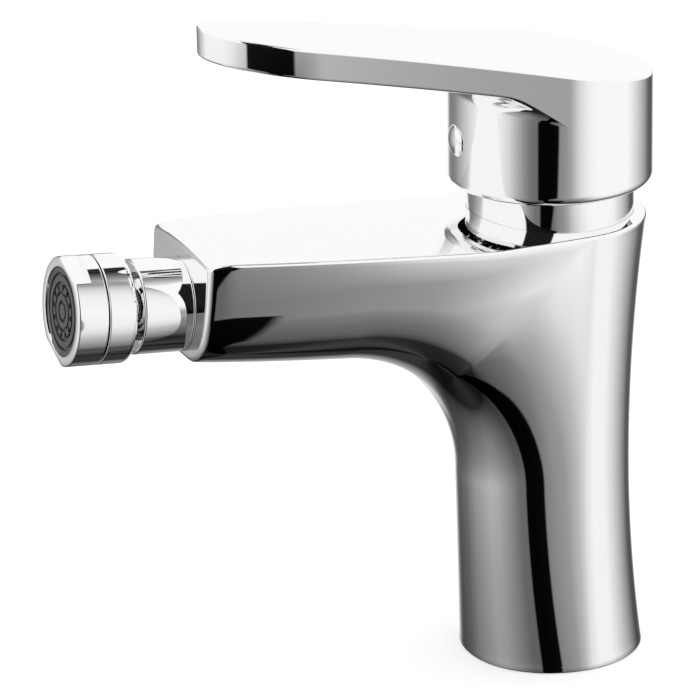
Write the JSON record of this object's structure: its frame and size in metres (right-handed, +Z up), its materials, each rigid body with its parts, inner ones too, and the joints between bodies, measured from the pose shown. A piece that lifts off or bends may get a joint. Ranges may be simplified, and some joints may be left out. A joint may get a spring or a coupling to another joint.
{
  "type": "bidet mixer",
  "caption": "Chromed single-lever bidet mixer with a waisted column, a rising spout, a ceramic-disc cartridge and a swivelling ball-joint aerator.",
  "frame": {"origin": "Centre of the round foot, on the deck.", "axes": "+Z is up along the column, -Y is the way the spout and the lever point, +X is to the right of someone who looks along +Y."},
  "size_m": [0.0506, 0.1545, 0.1726],
  "materials": {
    "chrome": "polished chrome plate",
    "black_rubber": "moulded rubber",
    "ceramic": "lapped white ceramic",
    "white_plastic": "moulded white plastic",
    "dark_plastic": "moulded dark grey plastic",
    "brass": "turned brass",
    "steel": "bright steel"
  },
  "bodies": {
    "mixer_body": {"body": "chrome", "base_seal": "black_rubber", "cartridge_base": "white_plastic", "port_seals": "black_rubber", "fixed_disc": "ceramic", "cartridge_housing": "white_plastic", "retaining_nut": "brass", "collar": "chrome", "collar_seal": "black_rubber", "ball_neck": "chrome", "neck_seal": "black_rubber"},
    "turret": {"stem_turret": "dark_plastic", "glide_ring": "white_plastic", "stem_pin": "steel"},
    "lever": {"stem": "steel", "handle": "chrome", "grub_screw": "steel", "index_plug": "chrome"},
    "carrier": {"moving_disc": "ceramic", "disc_carrier": "dark_plastic"},
    "seat": {"ball_seat": "white_plastic"},
    "nozzle": {"socket_ring": "chrome", "aerator_housing": "chrome", "aerator_washer": "black_rubber", "aerator_mesh": "steel", "aerator_insert": "dark_plastic"}
  },
  "joints": [
    {"name": "handle_turn", "type": "hinge", "parent": "mixer_body", "child": "turret", "pos_m": [0, 0, 0.114], "axis": [0, 0, 1], "range_deg": [-45, 45]},
    {"name": "handle_lift", "type": "hinge", "parent": "turret", "child": "lever", "pos_m": [0, 0, 0.114], "axis": [-1, 0, 0], "range_deg": [0, 20]},
    {"name": "disc_slide", "type": "slide", "parent": "turret", "child": "carrier", "axis": [0, -1, 0], "range_m": [0, 0.0047]},
    {"name": "nozzle_turn", "type": "hinge", "parent": "mixer_body", "child": "seat", "pos_m": [0, -0.11689, 0.10647], "axis": [0, -0.9969, 0.0785], "continuous": true},
    {"name": "nozzle_tilt", "type": "hinge", "parent": "seat", "child": "nozzle", "pos_m": [0, -0.11689, 0.10647], "axis": [-1, 0, 0], "range_deg": [-7, 7]}
  ],
  "couplings": [
    {"joint": "disc_slide", "follows": "handle_lift", "m_per_rad": 0.013316}
  ]
}
